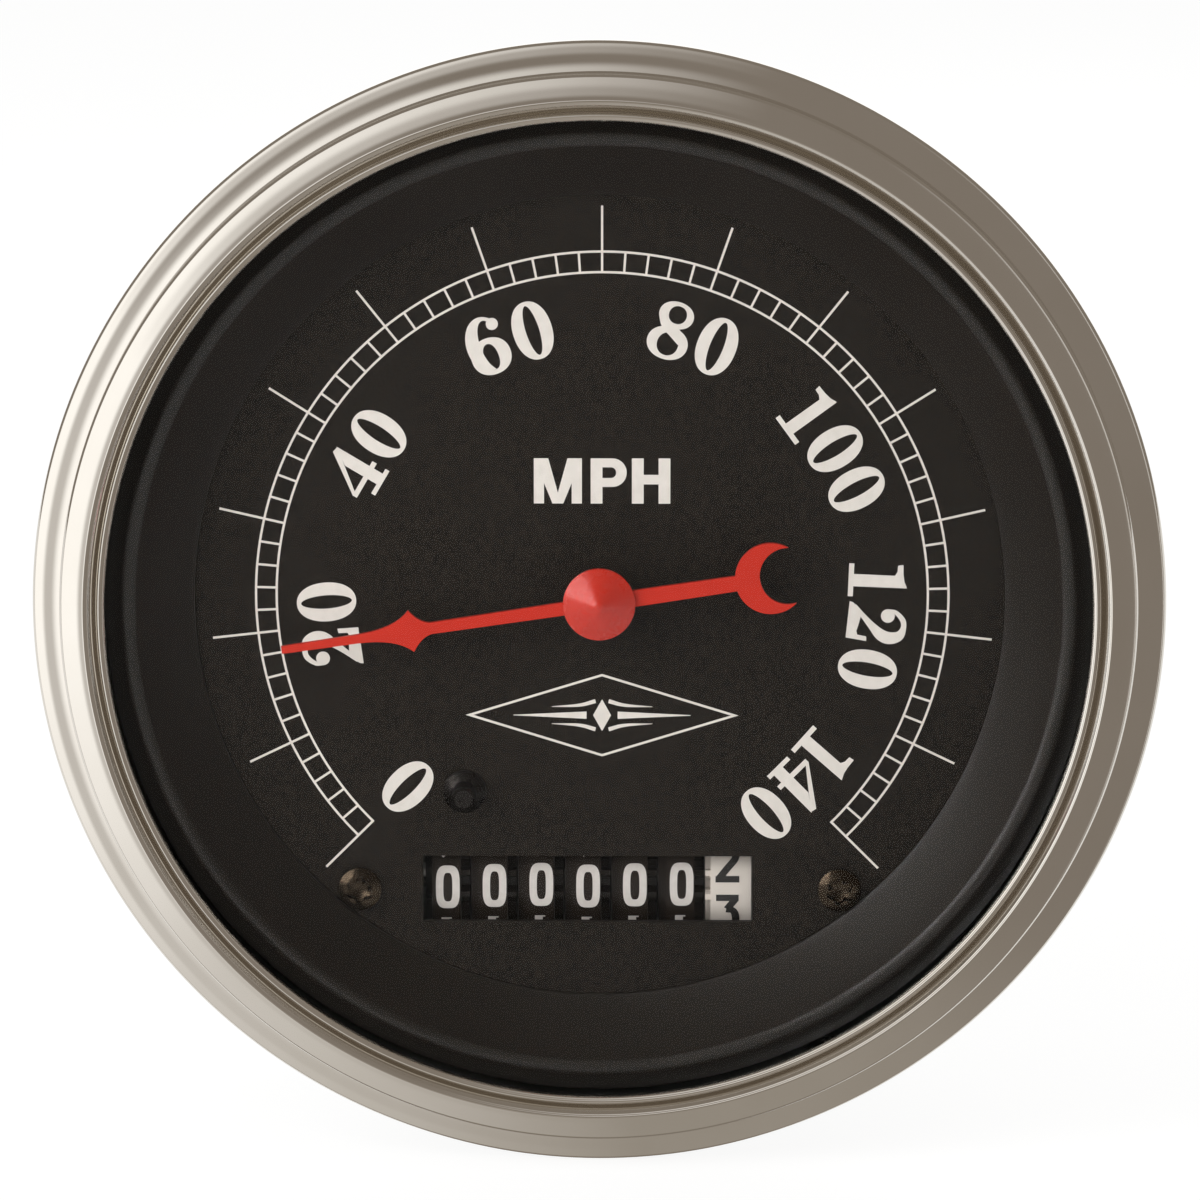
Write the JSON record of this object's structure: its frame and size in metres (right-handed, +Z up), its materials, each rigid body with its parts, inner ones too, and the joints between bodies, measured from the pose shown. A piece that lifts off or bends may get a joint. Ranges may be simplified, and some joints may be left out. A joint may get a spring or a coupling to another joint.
{
  "type": "speedometer",
  "caption": "Round dashboard speedometer with a stepped polished bezel, black dial, red pointer and drum distance counter, driven by a cable.",
  "frame": {"origin": "on the axis of the round case, in the plane where the bezel's rear edge meets the panel", "axes": "+X to the right as the driver sees the dial, +Y backwards along the case's axis into the panel, +Z up"},
  "size_m": [0.094, 0.0714, 0.094],
  "materials": {
    "polished_steel": "polished stainless steel",
    "clear_glass": "flat clear glass",
    "black_rubber": "moulded rubber",
    "plated_steel": "zinc plated pressed steel",
    "black_surround": "matt black",
    "dial_black": "fine grained matt black print",
    "blackened_steel": "black oxide",
    "pointer_red": "satin red enamel",
    "cap_red": "satin red moulding",
    "turned_steel": "ground steel",
    "drag_aluminium": "drawn aluminium",
    "spring_bronze": "rolled phosphor bronze",
    "turned_brass": "turned brass",
    "magnet_iron": "cast magnet alloy",
    "flux_iron": "soft iron",
    "die_cast": "die cast",
    "white_plastic": "moulded nylon",
    "black_plastic": "moulded nylon",
    "holder_plastic": "moulded black",
    "lamp_glass": "clear lamp glass"
  },
  "bodies": {
    "housing": {"bezel": "polished_steel", "lens": "clear_glass", "lens_gasket": "black_rubber", "case_shell": "plated_steel", "dial_surround": "black_surround", "dial_plate": "dial_black", "dial_screws": "blackened_steel", "stop_peg": "blackened_steel", "hairspring": "spring_bronze", "hairspring_stud": "turned_brass", "bridge_plate": "turned_brass", "bridge_screws": "turned_steel", "staff_bush": "turned_brass", "flux_ring": "flux_iron", "front_bush": "turned_brass", "rear_bush": "turned_brass", "cable_ferrule": "plated_steel", "ferrule_nut": "plated_steel", "movement_frame": "die_cast", "frame_screws": "turned_steel", "cross_bushes": "turned_brass", "odometer_frame": "plated_steel", "odometer_screws": "turned_steel", "odometer_shaft": "turned_steel", "carry_shaft": "turned_steel", "lamp_holders": "holder_plastic", "lamp_bulbs": "lamp_glass", "lamp_terminals": "turned_brass", "mounting_studs": "plated_steel", "stud_nuts": "plated_steel", "stud_washers": "plated_steel"},
    "hand": {"pointer": "pointer_red", "pointer_cap": "cap_red", "pointer_staff": "turned_steel", "speed_cup": "drag_aluminium", "hairspring_collet": "turned_brass"},
    "input": {"input_shaft": "turned_steel", "input_worm": "turned_steel", "magnet": "magnet_iron"},
    "cross_train": {"cross_shaft": "turned_steel", "cross_wheel": "turned_brass", "cross_worm": "turned_steel"},
    "counter_train": {"counter_shaft": "turned_steel", "counter_wheel": "white_plastic", "counter_gear": "white_plastic"},
    "tenths": {"tenths_drum": "white_plastic", "tenths_gear": "white_plastic"},
    "digit_1": {"digit_drum_1": "black_plastic"},
    "digit_2": {"digit_drum_2": "black_plastic"},
    "digit_3": {"digit_drum_3": "black_plastic"},
    "digit_4": {"digit_drum_4": "black_plastic"},
    "digit_5": {"digit_drum_5": "black_plastic"},
    "digit_6": {"digit_drum_6": "black_plastic"},
    "carry_1": {"carry_pinion_1": "black_plastic"},
    "carry_2": {"carry_pinion_2": "black_plastic"},
    "carry_3": {"carry_pinion_3": "black_plastic"},
    "carry_4": {"carry_pinion_4": "black_plastic"},
    "carry_5": {"carry_pinion_5": "black_plastic"},
    "carry_6": {"carry_pinion_6": "black_plastic"}
  },
  "joints": [
    {"name": "pointer_turn", "type": "hinge", "parent": "housing", "child": "hand", "pos_m": [0, 0, 0], "axis": [0, 1, 0], "range_deg": [-42.6, 308.4], "stiffness_Nm_per_rad": 0.00004},
    {"name": "input_spin", "type": "hinge", "parent": "housing", "child": "input", "pos_m": [0, 0, 0], "axis": [0, 1, 0], "continuous": true},
    {"name": "cross_spin", "type": "hinge", "parent": "housing", "child": "cross_train", "pos_m": [-0.0095, 0.034, 0], "axis": [0, 0, -1], "continuous": true},
    {"name": "counter_spin", "type": "hinge", "parent": "housing", "child": "counter_train", "pos_m": [0, 0.02575, -0.0248], "axis": [1, 0, 0], "continuous": true},
    {"name": "tenths_roll", "type": "hinge", "parent": "housing", "child": "tenths", "pos_m": [0, 0.0119, -0.0248], "axis": [-1, 0, 0], "continuous": true},
    {"name": "digit_6_roll", "type": "hinge", "parent": "housing", "child": "digit_6", "pos_m": [0, 0.0119, -0.0248], "axis": [-1, 0, 0], "continuous": true},
    {"name": "carry_6_spin", "type": "hinge", "parent": "housing", "child": "carry_6", "pos_m": [0, 0.0119, -0.0325], "axis": [1, 0, 0], "continuous": true},
    {"name": "digit_5_roll", "type": "hinge", "parent": "housing", "child": "digit_5", "pos_m": [0, 0.0119, -0.0248], "axis": [-1, 0, 0], "continuous": true},
    {"name": "carry_5_spin", "type": "hinge", "parent": "housing", "child": "carry_5", "pos_m": [0, 0.0119, -0.0325], "axis": [1, 0, 0], "continuous": true},
    {"name": "digit_4_roll", "type": "hinge", "parent": "housing", "child": "digit_4", "pos_m": [0, 0.0119, -0.0248], "axis": [-1, 0, 0], "continuous": true},
    {"name": "carry_4_spin", "type": "hinge", "parent": "housing", "child": "carry_4", "pos_m": [0, 0.0119, -0.0325], "axis": [1, 0, 0], "continuous": true},
    {"name": "digit_3_roll", "type": "hinge", "parent": "housing", "child": "digit_3", "pos_m": [0, 0.0119, -0.0248], "axis": [-1, 0, 0], "continuous": true},
    {"name": "carry_3_spin", "type": "hinge", "parent": "housing", "child": "carry_3", "pos_m": [0, 0.0119, -0.0325], "axis": [1, 0, 0], "continuous": true},
    {"name": "digit_2_roll", "type": "hinge", "parent": "housing", "child": "digit_2", "pos_m": [0, 0.0119, -0.0248], "axis": [-1, 0, 0], "continuous": true},
    {"name": "carry_2_spin", "type": "hinge", "parent": "housing", "child": "carry_2", "pos_m": [0, 0.0119, -0.0325], "axis": [1, 0, 0], "continuous": true},
    {"name": "digit_1_roll", "type": "hinge", "parent": "housing", "child": "digit_1", "pos_m": [0, 0.0119, -0.0248], "axis": [-1, 0, 0], "continuous": true},
    {"name": "carry_1_spin", "type": "hinge", "parent": "housing", "child": "carry_1", "pos_m": [0, 0.0119, -0.0325], "axis": [1, 0, 0], "continuous": true}
  ],
  "couplings": [
    {"joint": "cross_spin", "follows": "input_spin", "ratio": 0.04},
    {"joint": "counter_spin", "follows": "input_spin", "ratio": 0.0008},
    {"joint": "tenths_roll", "follows": "input_spin", "ratio": 0.001},
    {"joint": "digit_6_roll", "follows": "input_spin", "ratio": 0.0001},
    {"joint": "carry_6_spin", "follows": "input_spin", "ratio": 0.00025},
    {"joint": "digit_5_roll", "follows": "input_spin", "ratio": 0.00001},
    {"joint": "carry_5_spin", "follows": "input_spin", "ratio": 0.000025},
    {"joint": "digit_4_roll", "follows": "input_spin", "ratio": 0.000001},
    {"joint": "carry_4_spin", "follows": "input_spin", "ratio": 0.0000025},
    {"joint": "digit_3_roll", "follows": "input_spin", "ratio": 0.0000001},
    {"joint": "carry_3_spin", "follows": "input_spin", "ratio": 0.00000025},
    {"joint": "digit_2_roll", "follows": "input_spin", "ratio": 0.00000001},
    {"joint": "carry_2_spin", "follows": "input_spin", "ratio": 0.000000025},
    {"joint": "digit_1_roll", "follows": "input_spin", "ratio": 0.000000001},
    {"joint": "carry_1_spin", "follows": "input_spin", "ratio": 0.0000000025}
  ]
}
